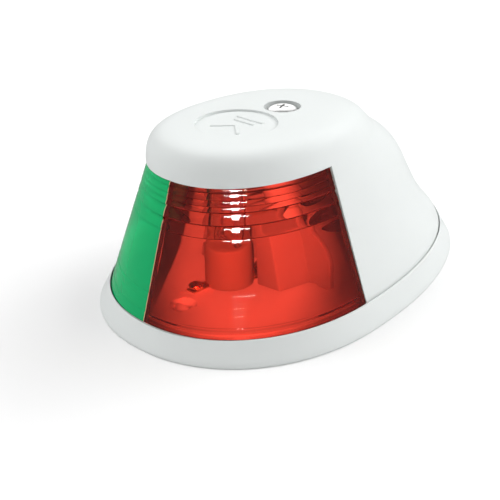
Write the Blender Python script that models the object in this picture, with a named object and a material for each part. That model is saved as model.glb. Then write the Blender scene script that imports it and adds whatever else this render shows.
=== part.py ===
"""Bi-colour bow navigation light for a small boat.

Frame: +Z up from the deck, -Y towards the bow, +X to port (red), -X to starboard (green).
The origin is the middle of the footprint on the deck. Sizes below are in millimetres and
every mesh is written in metres.

The light is an egg-shaped plastic base, a two-colour lens round its front half, and a white
cover that holds the lens down with one central screw. Inside are the lamp in its holder, the
contacts, and the upright screen that keeps light out of the aft sector.
"""

import math

import bmesh
import bpy
from mathutils import Vector

MM = 0.001
GAP = 0.3                       # clearance between pieces that touch
SEGMENTS = 72                   # points round each egg-shaped section

# Footprint: an egg, blunt at the bow and drawn out aft.
EGG_POWER = 2.15                # a shade squarer than an ellipse
WIDEST_Y = -10.35               # station of the greatest beam
HALF_BEAM = 40.2
FRONT_LENGTH = 46.8             # bow to the widest station
REAR_LENGTH = 67.5              # widest station to the tail

# Shell: the egg that the foot of the lens and cover follow, inside the rim.
SHELL_HALF_BEAM = 36.25
SHELL_FRONT = 43.45
SHELL_REAR = 64.15

# Base: sloping rim, seat channel for the lens and cover, and raised floor.
RIM_PROFILE = ((0.35, 0.0), (0.0, 0.5), (1.13, 2.6), (2.07, 4.2), (2.75, 5.4), (2.95, 6.0))
RIM_TOP_Z = 6.24
CHANNEL_Z = 3.6
CHANNEL_WIDTH = 2.95
FLOOR_Z = 5.4
HOLLOW_Z = 2.4                  # ceiling of the recess under the base
HOLLOW_INSET = 2.8
GASKET_LOW_Z = 0.1

# Lens and cover walls.
WALL = 2.2
FOOT_Z = 5.0                    # lower edge of lens and cover, down in the channel
WALL_SLOPE = 0.357              # inset gained per millimetre of height
LENS_TOP_Z = 40.0
LENS_AFT_Y = -10.9              # straight aft edge of both windows
COVER_PROUD = 0.45              # how far the cap stands outside the lens top

# Length of the cover aft of the widest station, by height.
COVER_REAR = ((5.0, 64.15), (6.24, 64.1), (9.5, 62.3), (13.7, 58.3), (19.0, 54.0), (25.3, 50.5),
              (31.7, 46.9), (36.5, 42.0), (40.3, 36.3))

# Cap: a nearly flat top that falls a little aft, with soft shoulders.
CAP_Z = 40.3
CAP_RISE = 7.8
CAP_FALL = 0.02                 # drop of the top per millimetre aft
CAP_FULL_BOW = (14.0, 0.36)     # powers of the shoulder's profile: upright at the bow,
CAP_FULL_TAIL = (10.4, 1.6)     # sweeping out into the cover's back at the tail
CAP_Y = -11.5                   # station where the top is CAP_RISE above its edge
CAP_LEVELS = (0.985, 0.95, 0.88, 0.77, 0.62, 0.46, 0.3, 0.16, 0.06)
CAP_REACHES = (0.06, 0.35, 0.7)
BADGE_Y = -18.5
BADGE_RADIUS = 10.6
BADGE_FLOOR_Z = 47.5

# Cover screw and its post.
SCREW_Y = -1.2
HEAD_RADIUS = 4.1
HEAD_TOP_Z = 48.0
HEAD_BASE_Z = 45.7
CROSS_REACH = 2.1
CROSS_HALF_WIDTH = 0.45
CROSS_DEPTH = 1.3
SHANK_RADIUS = 2.05
SHANK_END_Z = 31.5
COUNTERBORE_RADIUS = 4.9
COUNTERBORE_Z = 44.7
BOSS_RADIUS = 6.2
BOSS_Z = 38.5
POST_RADIUS = 4.7
POST_TOP_Z = 38.2
INSERT_RADIUS = 3.1
INSERT_LENGTH = 8.0

# Lamp, a wedge-base bulb standing on the point where both sectors meet.
LAMP_Y = -23.4
LAMP_RADIUS = 5.1
LAMP_BASE_Z = 8.0
LAMP_TOP_Z = 34.6
LAMP_GLASS = 0.7
LAMP_PINCH_Z = 17.2             # the flat blade ends here
LAMP_SHOULDER_Z = 20.2          # the round tube starts here
LAMP_DOME_Z = 29.4
BLADE_HALF_WIDTH = 4.7
BLADE_HALF_THICKNESS = 1.35
LEAD_X = 2.9
LEAD_RADIUS = 0.22
LEAD_BEND_Z = 7.35              # where a lead turns round the blade's lower edge
LEAD_END_Z = 11.8
FILAMENT_Z = 25.0
FILAMENT_HALF_LENGTH = 2.0
FILAMENT_COIL_RADIUS = 0.35
FILAMENT_WIRE_RADIUS = 0.09
FILAMENT_TURNS = 6
FILAMENT_SAG = 0.9

# Lamp holder, a round column with a slot down it.
HOLDER_RADIUS = 6.4
HOLDER_HEIGHT = 10.6
HOLDER_SLOT = (10.2, 3.4)
HOLDER_FLOOR = 0.9              # left under the slot
POCKET_X = (1.2, 4.8)           # room for each contact's leaf
POCKET_Y = (1.0, 3.3)
TAIL_GROOVE_Y = 9.0
TAIL_GROOVE_HEIGHT = 1.1

# Contacts and the screws on their tails.
CONTACT_X = 3.0
CONTACT_WIDTH = 3.0
CONTACT_THICKNESS = 0.4
LEAF_Y = 2.35
LEAF_BOW = 0.35                 # how far the leaf springs away from the blade
LEAF_TOP_Z = 13.6
LEAF_BOW_Z = 11.0
LEAF_ROOT_Z = 9.5
TAIL_END_Y = 11.5
TERMINAL_Y = 9.2
TERMINAL_PROFILE = ((2.0, 0.0), (2.0, 0.9), (1.6, 1.3), (0.4, 1.5))

# Screen behind the lamp, with a hollow cheek on each side of the wiring.
SCREEN_Y = -9.4
SCREEN_THICKNESS = 1.6
SCREEN_HALF_WIDTH = 24.0
SCREEN_TOP_Z = 20.5
SCREEN_CORNER = 9.5
CHEEK_TOP_Z = 19.9
CHEEK_INNER_X = 6.8
CHEEK_FRONT = (-20.0, 14.8)     # station of the front face, and its outer edge at the foot
CHEEK_BACK = (-10.2, 17.5)      # the same for the back face, buried in the screen
CHEEK_TAPER = 0.2               # how much the outer edges draw in per millimetre of height
CHEEK_WALL = 1.5
TAB_X = (10.5, 17.5)
TAB_LENGTH = 8.0
TAB_THICKNESS = 1.4
EYE_RADIUS = 1.5
EYE_Y = SCREEN_Y + 4.6
SCREEN_SCREW_PROFILE = ((2.5, 0.0), (2.4, 0.8), (1.9, 1.3), (0.5, 1.6))
SLOT_WIDTH = 0.5

# Holes through the base.
MOUNT_HOLES_Y = (-40.0, 38.0)
MOUNT_HOLE_RADIUS = 2.3
MOUNT_BOSS_RADIUS = 5.2
WIRE_Y = 18.0
WIRE_HOLE_RADIUS = 4.6
WIRE_BORE_RADIUS = 3.2
GROMMET_FLANGE = 1.2
GROMMET_LIP = 1.5               # height of the grommet over the floor


# ---------------------------------------------------------------- scene and materials

def clear_scene():
    for item in list(bpy.data.objects):
        bpy.data.objects.remove(item, do_unlink=True)


def new_collection(name):
    collection = bpy.data.collections.new(name)
    bpy.context.scene.collection.children.link(collection)
    return collection


def material(name, colour, roughness, metallic=0.0, transmission=0.0):
    mat = bpy.data.materials.new(name)
    mat.use_nodes = True
    shader = mat.node_tree.nodes["Principled BSDF"]
    shader.inputs["Base Color"].default_value = (*colour, 1.0)
    shader.inputs["Roughness"].default_value = roughness
    shader.inputs["Metallic"].default_value = metallic
    shader.inputs["Transmission Weight"].default_value = transmission
    return mat


clear_scene()
LIGHT = new_collection("navigation_light")
CUTTERS = new_collection("cutters")

WHITE = material("white_plastic", (0.86, 0.88, 0.87), 0.35)
WHITE_INNER = material("white_inner_plastic", (0.85, 0.85, 0.82), 0.45)
RED = material("red_lens_plastic", (0.75, 0.02, 0.01), 0.05, transmission=0.8)
GREEN = material("green_lens_plastic", (0.0, 0.45, 0.16), 0.05, transmission=0.8)
GLASS = material("lamp_glass_clear", (0.95, 0.97, 0.98), 0.02, transmission=0.9)
STEEL = material("stainless_steel", (0.72, 0.72, 0.71), 0.28, metallic=1.0)
BRASS = material("brass", (0.72, 0.52, 0.22), 0.3, metallic=1.0)
TUNGSTEN = material("tungsten", (0.35, 0.35, 0.36), 0.4, metallic=1.0)
RUBBER = material("black_rubber", (0.03, 0.03, 0.03), 0.8)
NYLON = material("cream_nylon", (0.72, 0.68, 0.58), 0.5)


# ---------------------------------------------------------------- mesh helpers

def add_object(name, mesh, mat, collection=LIGHT, origin=(0.0, 0.0, 0.0)):
    """Links a mesh given in world millimetres, with the object's origin at the given point."""
    for vertex in mesh.vertices:
        vertex.co = (vertex.co - Vector(origin)) * MM
    item = bpy.data.objects.new(name, mesh)
    item.location = Vector(origin) * MM
    collection.objects.link(item)
    if mat is not None:
        mesh.materials.append(mat)
    return item


def finish_mesh(bm, name):
    bmesh.ops.recalc_face_normals(bm, faces=bm.faces)
    mesh = bpy.data.meshes.new(name)
    bm.to_mesh(mesh)
    bm.free()
    mesh.shade_smooth()
    mesh.set_sharp_from_angle(angle=math.radians(32.0))
    return mesh


def loft(name, rings, closed=False):
    """Skins a stack of rings with equal counts; closed joins the last ring to the first."""
    bm = bmesh.new()
    rows = [[bm.verts.new(point) for point in ring] for ring in rings]
    count = len(rows[0])
    spans = list(zip(rows, rows[1:]))
    if closed:
        spans.append((rows[-1], rows[0]))
    for low, high in spans:
        for i in range(count):
            j = (i + 1) % count
            bm.faces.new((low[i], low[j], high[j], high[i]))
    if not closed:
        bm.faces.new(rows[0])
        bm.faces.new(rows[-1])
    return finish_mesh(bm, name)


def cylinder(name, centre, radius, low_z, high_z, top_radius=None, segments=40):
    """An upright cylinder or cone between two heights."""
    bm = bmesh.new()
    end_radius = radius if top_radius is None else top_radius
    bmesh.ops.create_cone(bm, cap_ends=True, segments=segments, radius1=radius,
                          radius2=end_radius, depth=high_z - low_z)
    bmesh.ops.translate(bm, verts=bm.verts, vec=(centre[0], centre[1], (low_z + high_z) / 2))
    return finish_mesh(bm, name)


def block(name, low, high):
    """A box between two corners."""
    bm = bmesh.new()
    bmesh.ops.create_cube(bm, size=1.0)
    size = Vector(high) - Vector(low)
    bmesh.ops.scale(bm, verts=bm.verts, vec=size)
    bmesh.ops.translate(bm, verts=bm.verts, vec=(Vector(high) + Vector(low)) / 2)
    return finish_mesh(bm, name)


def turned_rings(profile, centre, segments=40):
    """Circles about an upright axis, one for each (radius, height) of the profile."""
    rings = []
    for radius, height in profile:
        ring = []
        for i in range(segments):
            angle = math.tau * i / segments
            x = centre[0] + radius * math.cos(angle)
            y = centre[1] + radius * math.sin(angle)
            ring.append((x, y, height))
        rings.append(ring)
    return rings


def boolean(item, mesh, operation):
    """Cuts, joins or trims an object with a mesh kept in the cutters collection."""
    cutter = add_object(item.name + "_" + mesh.name, mesh, None, CUTTERS)
    cutter.hide_render = True
    cutter.display_type = "WIRE"
    step = item.modifiers.new(mesh.name, "BOOLEAN")
    step.operation = operation
    step.solver = "EXACT"
    step.object = cutter


def empty_at(name, point):
    marker = bpy.data.objects.new(name, None)
    marker.location = Vector(point) * MM
    marker.empty_display_size = 0.01
    LIGHT.objects.link(marker)
    return marker


def hang_on(marker, *items):
    """Parents pieces to a joint's marker without moving them."""
    for item in items:
        item.parent = marker
        item.location = item.location - marker.location


# ---------------------------------------------------------------- egg sections

def egg(half_width, front, rear, z, centre_y=WIDEST_Y):
    """One section: a superellipse with unlike front and rear lengths, from the bow round."""
    points = []
    for i in range(SEGMENTS):
        angle = math.tau * i / SEGMENTS
        across = math.sin(angle)
        along = math.cos(angle)
        length = front if along >= 0 else rear
        x = half_width * math.copysign(abs(across) ** (2 / EGG_POWER), across)
        y = centre_y - length * math.copysign(abs(along) ** (2 / EGG_POWER), along)
        points.append((x, y, z))
    return points


def footprint(inset, z):
    """A section parallel to the base's outline."""
    return egg(HALF_BEAM - inset, FRONT_LENGTH - inset, REAR_LENGTH - inset, z)


def shell(inset, z):
    """A section parallel to the foot of the lens and cover."""
    return egg(SHELL_HALF_BEAM - inset, SHELL_FRONT - inset, SHELL_REAR - inset, z)


def wall_inset(z):
    """Inset of the sloping wall's outer face; upright below the rim's top."""
    return WALL_SLOPE * max(z - RIM_TOP_Z, 0.0)


def smooth_value(stations, z):
    """Reads a smooth curve through a few (height, value) stations."""
    last = len(stations) - 2
    k = max(i for i in range(len(stations) - 1) if i == 0 or stations[i][0] <= z)
    k = min(k, last)

    def slope(i):
        low = stations[max(i - 1, 0)]
        high = stations[min(i + 1, last + 1)]
        return (high[1] - low[1]) / (high[0] - low[0])

    (z0, v0), (z1, v1) = stations[k], stations[k + 1]
    span = z1 - z0
    t = (z - z0) / span
    return ((2 * t**3 - 3 * t**2 + 1) * v0 + (t**3 - 2 * t**2 + t) * span * slope(k)
            + (3 * t**2 - 2 * t**3) * v1 + (t**3 - t**2) * span * slope(k + 1))


def cover_ring(z, thickness):
    """The cover's outer section at a height, or its inner one when a thickness is given."""
    share = max(z - RIM_TOP_Z, 0.0) / (CAP_Z - RIM_TOP_Z)
    inset = wall_inset(z) - COVER_PROUD * share + thickness
    rear = smooth_value(COVER_REAR, z) - thickness
    return egg(SHELL_HALF_BEAM - inset, SHELL_FRONT - inset, rear, z)


def cap_ring(level, reach, drop):
    """A ring of the cap at one level of its shoulder, drawn in by reach over the flat top.

    The inner face is the same ring shrunk and lowered by drop.
    """
    points = []
    for i, (x, y, z) in enumerate(cover_ring(CAP_Z, drop)):
        bow = 0.5 + 0.5 * math.cos(math.tau * i / SEGMENTS)
        inner = CAP_FULL_BOW[0] * bow + CAP_FULL_TAIL[0] * (1 - bow)
        outer = CAP_FULL_BOW[1] * bow + CAP_FULL_TAIL[1] * (1 - bow)
        share = reach * (1 - level ** (1 / outer)) ** (1 / inner)
        ring_y = CAP_Y + (y - CAP_Y) * share
        rise = CAP_RISE - drop - CAP_FALL * (ring_y - CAP_Y)
        points.append((x * share, ring_y, z + rise * (1 - share**inner) ** outer))
    return points


def cap_rings(drop):
    """The cap from the middle of its top out to its lower edge."""
    rings = [cap_ring(CAP_LEVELS[0], reach, drop) for reach in CAP_REACHES]
    return rings + [cap_ring(level, 1.0, drop) for level in CAP_LEVELS]


# ---------------------------------------------------------------- base

def make_base():
    rings = [footprint(HOLLOW_INSET, HOLLOW_Z), footprint(HOLLOW_INSET, 0.0)]
    rings += [footprint(inset, z) for inset, z in RIM_PROFILE]
    rings += [shell(-GAP, RIM_TOP_Z), shell(-GAP, CHANNEL_Z)]
    rings += [shell(CHANNEL_WIDTH, CHANNEL_Z), shell(CHANNEL_WIDTH, FLOOR_Z)]
    base = add_object("base_plate", loft("base", rings), WHITE)
    for y in MOUNT_HOLES_Y:
        boolean(base, cylinder("pad", (0, y), MOUNT_BOSS_RADIUS, 0.0, HOLLOW_Z + 1.0), "UNION")
    boolean(base, cylinder("post", (0, SCREW_Y), POST_RADIUS + 0.8, FLOOR_Z - 1.0, POST_TOP_Z,
                           POST_RADIUS), "UNION")
    for y in MOUNT_HOLES_Y:
        boolean(base, cylinder("hole", (0, y), MOUNT_HOLE_RADIUS, -1.0, 8.0, segments=32),
                "DIFFERENCE")
    boolean(base, cylinder("inlet", (0, WIRE_Y), WIRE_HOLE_RADIUS, -1.0, 8.0), "DIFFERENCE")
    boolean(base, cylinder("insert", (0, SCREW_Y), INSERT_RADIUS + GAP,
                           POST_TOP_Z - INSERT_LENGTH - 2 * GAP, POST_TOP_Z + 1.0), "DIFFERENCE")
    return base


def make_mounting_gasket():
    inset = HOLLOW_INSET + GAP
    faces = [footprint(inset, GASKET_LOW_Z), footprint(inset, HOLLOW_Z - GAP)]
    gasket = add_object("mounting_gasket", loft("gasket", faces), RUBBER)
    for y in MOUNT_HOLES_Y:
        boolean(gasket, cylinder("relief", (0, y), MOUNT_BOSS_RADIUS + GAP, -1.0, 4.0),
                "DIFFERENCE")
    clear_of_grommet = WIRE_HOLE_RADIUS + GROMMET_FLANGE + GAP
    boolean(gasket, cylinder("inlet", (0, WIRE_Y), clear_of_grommet, -1.0, 4.0), "DIFFERENCE")
    return gasket


def make_rim_seal():
    inner = CHANNEL_WIDTH - GAP
    low = CHANNEL_Z + GAP
    high = FOOT_Z - GAP
    rings = [shell(0.0, low), shell(0.0, high), shell(inner, high), shell(inner, low)]
    return add_object("rim_seal", loft("seal", rings, closed=True), RUBBER)


def make_wire_grommet():
    flange = WIRE_HOLE_RADIUS + GROMMET_FLANGE
    neck = WIRE_HOLE_RADIUS - GAP
    low = HOLLOW_Z - GAP - 1.0
    high = FLOOR_Z + GROMMET_LIP
    profile = ((WIRE_BORE_RADIUS, low), (flange, low), (flange, HOLLOW_Z - GAP),
               (neck, HOLLOW_Z - GAP), (neck, FLOOR_Z + GAP), (flange, FLOOR_Z + GAP),
               (flange - 0.4, high), (WIRE_BORE_RADIUS, high))
    rings = turned_rings(profile, (0, WIRE_Y))
    return add_object("wire_grommet", loft("grommet", rings, closed=True), RUBBER)


def make_threaded_insert():
    bore = SHANK_RADIUS + GAP
    low = POST_TOP_Z - INSERT_LENGTH - GAP
    high = POST_TOP_Z - GAP
    profile = ((bore, low), (INSERT_RADIUS, low), (INSERT_RADIUS, high), (bore, high))
    rings = turned_rings(profile, (0, SCREW_Y))
    return add_object("threaded_insert", loft("insert", rings, closed=True), BRASS)


# ---------------------------------------------------------------- lens

def make_lens(name, side, mat):
    """One coloured half: the wall's ring trimmed at the bow joint and at the aft edge."""
    heights = (FOOT_Z, RIM_TOP_Z, 12.0, 19.0, 26.0, 33.0, LENS_TOP_Z)
    outer = []
    inner = []
    for z in heights:
        inset = wall_inset(z)
        outer.append(shell(inset, z))
        inner.append(shell(inset + WALL, z))
    wall = loft("wall", outer + inner[::-1], closed=True)
    lens = add_object(name, wall, mat)
    edges = sorted((side * GAP / 2, side * 60.0))
    boolean(lens, block("half", (edges[0], -80.0, -5.0), (edges[1], LENS_AFT_Y, 60.0)),
            "INTERSECT")
    return lens


# ---------------------------------------------------------------- cover

def make_cover():
    skirt = (CAP_Z, 38.0, 34.5, 31.0, 27.5, 24.0, 20.5, 17.0, 13.5, 10.5, 8.0, RIM_TOP_Z, FOOT_Z)
    outer = cap_rings(0.0) + [cover_ring(z, 0.0) for z in skirt]
    inner = [cover_ring(z, WALL) for z in skirt[::-1][::2]] + cap_rings(WALL)[::-1]
    cover = add_object("cover", loft("cover", outer + inner), WHITE)
    boolean(cover, block("window", (-60.0, -80.0, -5.0), (60.0, LENS_AFT_Y + GAP, CAP_Z)),
            "DIFFERENCE")
    boolean(cover, cylinder("boss", (0, SCREW_Y), BOSS_RADIUS, BOSS_Z, COUNTERBORE_Z + 1.8),
            "UNION")
    boolean(cover, cylinder("counterbore", (0, SCREW_Y), COUNTERBORE_RADIUS, COUNTERBORE_Z, 60.0),
            "DIFFERENCE")
    boolean(cover, cylinder("screw_hole", (0, SCREW_Y), SHANK_RADIUS + GAP, 30.0, 60.0,
                            segments=32), "DIFFERENCE")
    boolean(cover, cylinder("badge", (0, BADGE_Y), BADGE_RADIUS, BADGE_FLOOR_Z, 60.0,
                            segments=48), "DIFFERENCE")
    return cover


def make_cover_screw():
    profile = ((0.5, SHANK_END_Z), (SHANK_RADIUS, SHANK_END_Z + 1.5), (SHANK_RADIUS, HEAD_BASE_Z),
               (HEAD_RADIUS, HEAD_BASE_Z), (HEAD_RADIUS, HEAD_TOP_Z - 1.0),
               (HEAD_RADIUS - 0.7, HEAD_TOP_Z - 0.35), (HEAD_RADIUS - 2.2, HEAD_TOP_Z))
    rings = turned_rings(profile, (0, SCREW_Y))
    screw = add_object("cover_screw", loft("screw", rings), STEEL, origin=(0, SCREW_Y, HEAD_BASE_Z))
    arms = ((CROSS_REACH, CROSS_HALF_WIDTH), (CROSS_HALF_WIDTH, CROSS_REACH))
    for index, (half_x, half_y) in enumerate(arms):
        slot = block("slot%d" % index, (-half_x, SCREW_Y - half_y, HEAD_TOP_Z - CROSS_DEPTH),
                     (half_x, SCREW_Y + half_y, HEAD_TOP_Z + 1.0))
        boolean(screw, slot, "DIFFERENCE")
    return screw


def make_sealing_washer():
    low = COUNTERBORE_Z + GAP
    high = HEAD_BASE_Z - GAP
    bore = SHANK_RADIUS + GAP
    outer = HEAD_RADIUS - 0.1
    profile = ((bore, low), (outer, low), (outer, high), (bore, high))
    rings = turned_rings(profile, (0, SCREW_Y))
    return add_object("sealing_washer", loft("washer", rings, closed=True), RUBBER)


# ---------------------------------------------------------------- lamp

def lamp_ring(half_x, half_y, z, power=2.0, segments=28):
    points = []
    for i in range(segments):
        angle = math.tau * i / segments
        x = half_x * math.copysign(abs(math.cos(angle)) ** (2 / power), math.cos(angle))
        y = half_y * math.copysign(abs(math.sin(angle)) ** (2 / power), math.sin(angle))
        points.append((x, LAMP_Y + y, z))
    return points


def lamp_wall(inward):
    """Rings of the glass from the blade up to the dome; inward moves to the inner face."""
    rings = []
    middle_z = (LAMP_PINCH_Z + LAMP_SHOULDER_Z) / 2
    for z, blend in ((LAMP_BASE_Z, 0.0), (LAMP_PINCH_Z, 0.0), (middle_z, 0.5),
                     (LAMP_SHOULDER_Z, 1.0), (LAMP_DOME_Z, 1.0)):
        half_x = BLADE_HALF_WIDTH + (LAMP_RADIUS - BLADE_HALF_WIDTH) * blend - inward
        half_y = BLADE_HALF_THICKNESS + (LAMP_RADIUS - BLADE_HALF_THICKNESS) * blend - inward
        rings.append(lamp_ring(half_x, half_y, z, 4.0 - 2.0 * blend))
    dome = LAMP_TOP_Z - LAMP_DOME_Z - inward
    for degrees in (25, 48, 68, 84):
        angle = math.radians(degrees)
        radius = (LAMP_RADIUS - inward) * math.cos(angle)
        rings.append(lamp_ring(radius, radius, LAMP_DOME_Z + dome * math.sin(angle)))
    return rings


def make_lamp_glass():
    rings = lamp_wall(0.0)[::-1] + lamp_wall(LAMP_GLASS)
    glass = add_object("lamp_glass", loft("glass", rings), GLASS, origin=(0, LAMP_Y, LAMP_BASE_Z))
    return glass


def wire(name, points, radius, mat):
    """A round wire along a polyline, as a mesh with welded caps."""
    curve = bpy.data.curves.new(name, "CURVE")
    curve.dimensions = "3D"
    curve.bevel_depth = radius * MM
    curve.bevel_resolution = 1
    curve.use_fill_caps = True
    spline = curve.splines.new("POLY")
    spline.points.add(len(points) - 1)
    for target, point in zip(spline.points, points):
        target.co = (*(Vector(point) * MM), 1.0)
    item = bpy.data.objects.new(name, curve)
    LIGHT.objects.link(item)
    curve.materials.append(mat)
    return item


def make_lamp_lead(name, side):
    """A lead: from the filament's end down through the blade, and folded up its face."""
    face_y = LAMP_Y + side * (BLADE_HALF_THICKNESS + LEAD_RADIUS + 0.2)
    middle_y = LAMP_Y + side * 0.9
    x = side * LEAD_X
    points = [(side * (FILAMENT_HALF_LENGTH + 0.7), LAMP_Y, FILAMENT_Z - 0.1),
              (x, LAMP_Y, LAMP_SHOULDER_Z + 1.2), (x, LAMP_Y, LEAD_BEND_Z),
              (x, middle_y, LEAD_BEND_Z - 0.4), (x, face_y, LEAD_BEND_Z + 0.15),
              (x, face_y, LEAD_END_Z)]
    return wire(name, points, LEAD_RADIUS, STEEL)


def make_filament():
    """A short coil hung between the two leads."""
    points = []
    steps = 10 * FILAMENT_TURNS
    for i in range(steps + 1):
        share = i / steps
        angle = math.tau * FILAMENT_TURNS * share
        sag = FILAMENT_SAG * (1 - (2 * share - 1) ** 2)
        points.append((FILAMENT_HALF_LENGTH * (2 * share - 1),
                       LAMP_Y + FILAMENT_COIL_RADIUS * math.cos(angle),
                       FILAMENT_Z + sag + FILAMENT_COIL_RADIUS * math.sin(angle)))
    return wire("lamp_filament", points, FILAMENT_WIRE_RADIUS, TUNGSTEN)


def make_lamp_holder():
    low = FLOOR_Z + GAP
    high = low + HOLDER_HEIGHT
    body = cylinder("holder", (0, LAMP_Y), HOLDER_RADIUS, low, high, segments=48)
    holder = add_object("lamp_holder", body, NYLON)
    slot_x, slot_y = HOLDER_SLOT[0] / 2, HOLDER_SLOT[1] / 2
    boolean(holder, block("socket", (-slot_x, LAMP_Y - slot_y, low + HOLDER_FLOOR),
                          (slot_x, LAMP_Y + slot_y, high + 5.0)), "DIFFERENCE")
    for side in (1, -1):
        x_low, x_high = sorted(side * x for x in POCKET_X)
        y_low, y_high = sorted(LAMP_Y + side * y for y in POCKET_Y)
        boolean(holder, block("pocket%d" % side, (x_low, y_low, low - 1.0),
                              (x_high, y_high, high + 5.0)), "DIFFERENCE")
        y_low, y_high = sorted(LAMP_Y + side * y for y in (POCKET_Y[0], TAIL_GROOVE_Y))
        boolean(holder, block("tail%d" % side, (x_low, y_low, low - 1.0),
                              (x_high, y_high, low + TAIL_GROOVE_HEIGHT)), "DIFFERENCE")
    return holder


def make_contact(name, side):
    """A bent strip: a springy leaf beside the blade and a tail out to the terminal."""
    low = FLOOR_Z + GAP
    back_y = LEAF_Y + CONTACT_THICKNESS
    outline = [(LEAF_Y, LEAF_TOP_Z), (LEAF_Y + LEAF_BOW, LEAF_BOW_Z), (LEAF_Y, LEAF_ROOT_Z),
               (LEAF_Y, low), (TAIL_END_Y, low), (TAIL_END_Y, low + CONTACT_THICKNESS),
               (back_y, low + CONTACT_THICKNESS), (back_y, LEAF_ROOT_Z),
               (back_y + LEAF_BOW, LEAF_BOW_Z), (back_y, LEAF_TOP_Z)]
    curve = bpy.data.curves.new(name, "CURVE")
    curve.dimensions = "2D"
    curve.fill_mode = "BOTH"
    curve.extrude = CONTACT_WIDTH / 2 * MM
    spline = curve.splines.new("POLY")
    spline.points.add(len(outline) - 1)
    spline.use_cyclic_u = True
    for target, (y, z) in zip(spline.points, outline):
        target.co = (side * y * MM, z * MM, 0.0, 1.0)
    item = bpy.data.objects.new(name, curve)
    item.location = Vector((side * CONTACT_X, LAMP_Y, 0.0)) * MM
    item.rotation_euler = (math.radians(90.0), 0.0, math.radians(90.0))
    LIGHT.objects.link(item)
    curve.materials.append(BRASS)
    return item


def slotted_screw(name, centre, low, profile, mat):
    """A small slotted head standing on its low face."""
    rings = turned_rings([(radius, low + height) for radius, height in profile], centre, segments=24)
    screw = add_object(name, loft("head", rings), mat)
    x, y = centre
    half = SLOT_WIDTH / 2
    reach = profile[0][0] + 1.0
    slot_z = low + profile[1][1]
    boolean(screw, block("slot", (x - reach, y - half, slot_z), (x + reach, y + half, slot_z + 2.0)),
            "DIFFERENCE")
    return screw


def make_terminal_screw(name, side):
    """The screw that clamps a wire on the contact's tail."""
    low = FLOOR_Z + GAP + CONTACT_THICKNESS + GAP
    return slotted_screw(name, (side * CONTACT_X, LAMP_Y + side * TERMINAL_Y), low,
                         TERMINAL_PROFILE, BRASS)


# ---------------------------------------------------------------- screen

def cheek(name, side, inset, low, high):
    """A tapered block between the lamp and the screen; inset draws in all but its low face."""
    rings = []
    for z in (low, high):
        drawn = CHEEK_TAPER * max(z - FLOOR_Z - GAP, 0.0) + inset
        front_y, front_x = CHEEK_FRONT[0] + inset, CHEEK_FRONT[1] - drawn
        back_y, back_x = CHEEK_BACK[0] - inset, CHEEK_BACK[1] - drawn
        inner_x = CHEEK_INNER_X + inset
        rings.append([(side * x, y, z) for x, y in ((inner_x, front_y), (front_x, front_y),
                                                    (back_x, back_y), (inner_x, back_y))])
    return loft(name, rings)


def make_light_screen():
    """The wall behind the lamp with its two cheeks, and two tabs on the floor behind it."""
    low = FLOOR_Z + GAP
    outline = [(-SCREEN_HALF_WIDTH, low), (SCREEN_HALF_WIDTH, low)]
    for side in (1, -1):
        for step in range(7):
            angle = math.radians(15.0 * step)
            turn = angle if side > 0 else math.radians(90.0) - angle
            x = side * (SCREEN_HALF_WIDTH - SCREEN_CORNER + SCREEN_CORNER * math.cos(turn))
            z = SCREEN_TOP_Z - SCREEN_CORNER + SCREEN_CORNER * math.sin(turn)
            outline.append((x, z))
    rings = [[(x, y, z) for x, z in outline]
             for y in (SCREEN_Y - SCREEN_THICKNESS, SCREEN_Y)]
    screen = add_object("light_screen", loft("screen", rings), WHITE_INNER)
    for side in (1, -1):
        boolean(screen, cheek("cheek%d" % side, side, 0.0, low, CHEEK_TOP_Z), "UNION")
        hollow = cheek("hollow%d" % side, side, CHEEK_WALL, low - 1.0, CHEEK_TOP_Z - CHEEK_WALL)
        boolean(screen, hollow, "DIFFERENCE")
        x_low, x_high = sorted(side * x for x in TAB_X)
        tab = block("tab%d" % side, (x_low, SCREEN_Y - 0.5, low),
                    (x_high, SCREEN_Y + TAB_LENGTH, low + TAB_THICKNESS))
        boolean(screen, tab, "UNION")
        eye = cylinder("eye%d" % side, (side * sum(TAB_X) / 2, EYE_Y), EYE_RADIUS, 0.0, 10.0,
                       segments=24)
        boolean(screen, eye, "DIFFERENCE")
    return screen


def make_screen_screw(name, side):
    """The screw that holds one tab of the screen down."""
    low = FLOOR_Z + GAP + TAB_THICKNESS + GAP
    return slotted_screw(name, (side * sum(TAB_X) / 2, EYE_Y), low, SCREEN_SCREW_PROFILE, STEEL)


# ---------------------------------------------------------------- assembly

def curve_to_mesh(item):
    """Turns a bevelled or filled curve into a mesh with its caps welded."""
    graph = bpy.context.evaluated_depsgraph_get()
    mesh = bpy.data.meshes.new_from_object(item.evaluated_get(graph))
    bm = bmesh.new()
    bm.from_mesh(mesh)
    bmesh.ops.remove_doubles(bm, verts=bm.verts, dist=0.000002)
    bmesh.ops.recalc_face_normals(bm, faces=bm.faces)
    bm.to_mesh(mesh)
    bm.free()
    solid = bpy.data.objects.new("solid", mesh)
    solid.matrix_world = item.matrix_world.copy()
    LIGHT.objects.link(solid)
    name = item.name
    bpy.data.objects.remove(item, do_unlink=True)
    solid.name = name
    return solid


make_base()
make_mounting_gasket()
make_rim_seal()
make_wire_grommet()
make_threaded_insert()
make_light_screen()
make_screen_screw("screen_screw_port", 1)
make_screen_screw("screen_screw_starboard", -1)
make_lamp_holder()
make_terminal_screw("terminal_screw_port", 1)
make_terminal_screw("terminal_screw_starboard", -1)

port_lens = make_lens("lens_port_red", 1, RED)
starboard_lens = make_lens("lens_starboard_green", -1, GREEN)
cover = make_cover()
screw = make_cover_screw()
washer = make_sealing_washer()
glass = make_lamp_glass()

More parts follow.
